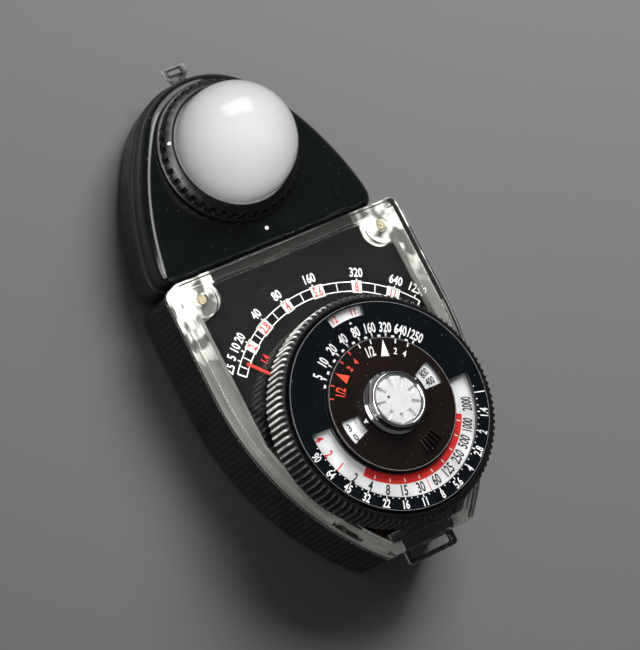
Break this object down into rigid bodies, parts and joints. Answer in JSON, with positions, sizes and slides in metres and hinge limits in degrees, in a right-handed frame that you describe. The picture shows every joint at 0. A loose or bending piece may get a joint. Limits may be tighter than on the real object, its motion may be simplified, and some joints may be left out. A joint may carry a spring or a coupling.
{
  "type": "handheld light meter",
  "caption": "Handheld light meter: ribbed case under a clear cover, knurled exposure dial with a centre button, and a swivel head with an opal diffuser dome.",
  "frame": {"origin": "point on the flat back of the case that lies on the axis of the dial and the pointer", "axes": "+Z out of the front, +Y towards the swivel head, +X to the right when the dial is read; the meter lies on its back"},
  "size_m": [0.058, 0.1179, 0.034],
  "materials": {
    "case_black": "black moulded plastic, satin, fine moulded ribs on the flanks",
    "head_front_black": "polished black moulded plastic",
    "ring_black": "satin black, notched rim",
    "opal": "glossy translucent white",
    "clear": "polished clear acrylic",
    "scale_black": "satin black lacquer with printed white scale",
    "pointer_red": "red paint",
    "knurl_black": "black anodised knurl, worn bright on the crests",
    "dial_gloss_black": "polished black with printed white figures",
    "disc_white": "satin white lacquer with printed black and red figures",
    "disc_brown": "polished very dark brown",
    "chrome": "bright plated collar, satin cap",
    "bail_steel": "blackened steel, worn bright at the edges",
    "steel": "plain steel",
    "brass": "turned brass",
    "magnet_grey": "sintered magnet",
    "copper_coil": "fine enamelled copper wire on a light frame",
    "board": "brown laminate",
    "cell": "dark violet selenium layer, smooth",
    "jewel": "ruby jewel in a screw",
    "lead_red": "red insulation",
    "lead_black": "black insulation"
  },
  "bodies": {
    "body": {"lower_case": "case_black", "clear_cover": "clear", "scale_plate": "scale_black", "strap_bail": "bail_steel", "case_screw_1": "brass", "case_screw_2": "brass", "case_screw_3": "brass", "case_screw_4": "brass", "movement_base": "brass", "movement_bridge": "brass", "magnet_yoke": "steel", "core_magnet": "magnet_grey", "lower_jewel": "jewel", "upper_jewel": "jewel", "bridge_screw_left": "steel", "bridge_screw_right": "steel", "brake_pivot_pin": "steel", "terminal_board": "board", "calibration_resistor": "board", "movement_lead_red": "lead_red", "movement_lead_black": "lead_black", "dial_hub": "brass", "hub_nut": "brass", "exposure_disc": "dial_gloss_black", "centre_collar": "chrome", "button_spring": "steel", "swivel_washer": "steel", "swivel_stop": "case_black"},
    "moving_system": {"moving_coil": "copper_coil", "pointer": "pointer_red", "hairspring_lower": "brass", "hairspring_upper": "brass"},
    "zero_adjuster": {"zero_screw": "steel"},
    "zero_arm": {"zero_lever": "steel"},
    "brake": {"brake_lever": "steel"},
    "dial": {"knurled_dial": "knurl_black", "shutter_disc": "disc_white", "friction_washer": "steel"},
    "film_speed": {"film_speed_disc": "disc_brown", "sleeve_clip": "steel"},
    "release": {"release_plunger": "steel"},
    "release_cap": {"button_cap": "chrome"},
    "head": {"head_rear_shell": "case_black", "head_front_shell": "head_front_black", "bayonet_seat": "ring_black", "photocell": "cell", "cell_backing": "board", "cell_contact_ring": "brass", "head_lead_red": "lead_red", "head_lead_black": "lead_black", "head_screw_left": "steel", "head_screw_right": "steel", "swivel_tube": "brass", "swivel_nut": "brass"},
    "slide": {"high_slide": "bail_steel"},
    "diffuser": {"diffuser_ring": "ring_black", "diffuser_dome": "opal"}
  },
  "joints": [
    {"name": "pointer_swing", "type": "hinge", "parent": "body", "child": "moving_system", "pos_m": [0, 0, 0.0085], "axis": [0, 0, 1], "range_deg": [-96, 2], "stiffness_Nm_per_rad": 0.00002},
    {"name": "zero_screw_turn", "type": "hinge", "parent": "body", "child": "zero_adjuster", "pos_m": [0, -0.013, 0.0015], "axis": [0, 0, 1], "range_deg": [-40, 40]},
    {"name": "zero_lever_turn", "type": "hinge", "parent": "body", "child": "zero_arm", "pos_m": [0, 0, 0.0038], "axis": [0, 0, 1], "range_deg": [-3.5, 3.5]},
    {"name": "brake_rock", "type": "hinge", "parent": "body", "child": "brake", "pos_m": [0, -0.009, 0.017], "axis": [-1, 0, 0], "range_deg": [0, 8]},
    {"name": "dial_turn", "type": "hinge", "parent": "body", "child": "dial", "pos_m": [0, 0, 0.0245], "axis": [0, 0, 1], "range_deg": [-80, 100]},
    {"name": "film_speed_turn", "type": "hinge", "parent": "dial", "child": "film_speed", "pos_m": [0, 0, 0.0293], "axis": [0, 0, 1], "range_deg": [-60, 72]},
    {"name": "button_press", "type": "slide", "parent": "body", "child": "release", "axis": [0, 0, -1], "range_m": [0, 0.0012], "stiffness_N_per_m": 300, "springref_m": -0.002, "deforming": ["button_spring"]},
    {"name": "button_twist", "type": "hinge", "parent": "release", "child": "release_cap", "pos_m": [0, 0, 0.0321], "axis": [0, 0, 1], "range_deg": [0, 45]},
    {"name": "head_swivel", "type": "hinge", "parent": "body", "child": "head", "pos_m": [0, 0.0418, 0.0085], "axis": [0, 1, 0], "range_deg": [-90, 180]},
    {"name": "high_slide_pull", "type": "slide", "parent": "head", "child": "slide", "axis": [0, 1, 0], "range_m": [0, 0.034]},
    {"name": "diffuser_turn", "type": "hinge", "parent": "head", "child": "diffuser", "pos_m": [0, 0.0644, 0.018], "axis": [0, 0, 1], "range_deg": [0, 111]}
  ],
  "couplings": [
    {"joint": "zero_lever_turn", "follows": "zero_screw_turn", "ratio": -0.083333},
    {"joint": "brake_rock", "follows": "button_press", "rad_per_m": 111.11}
  ]
}
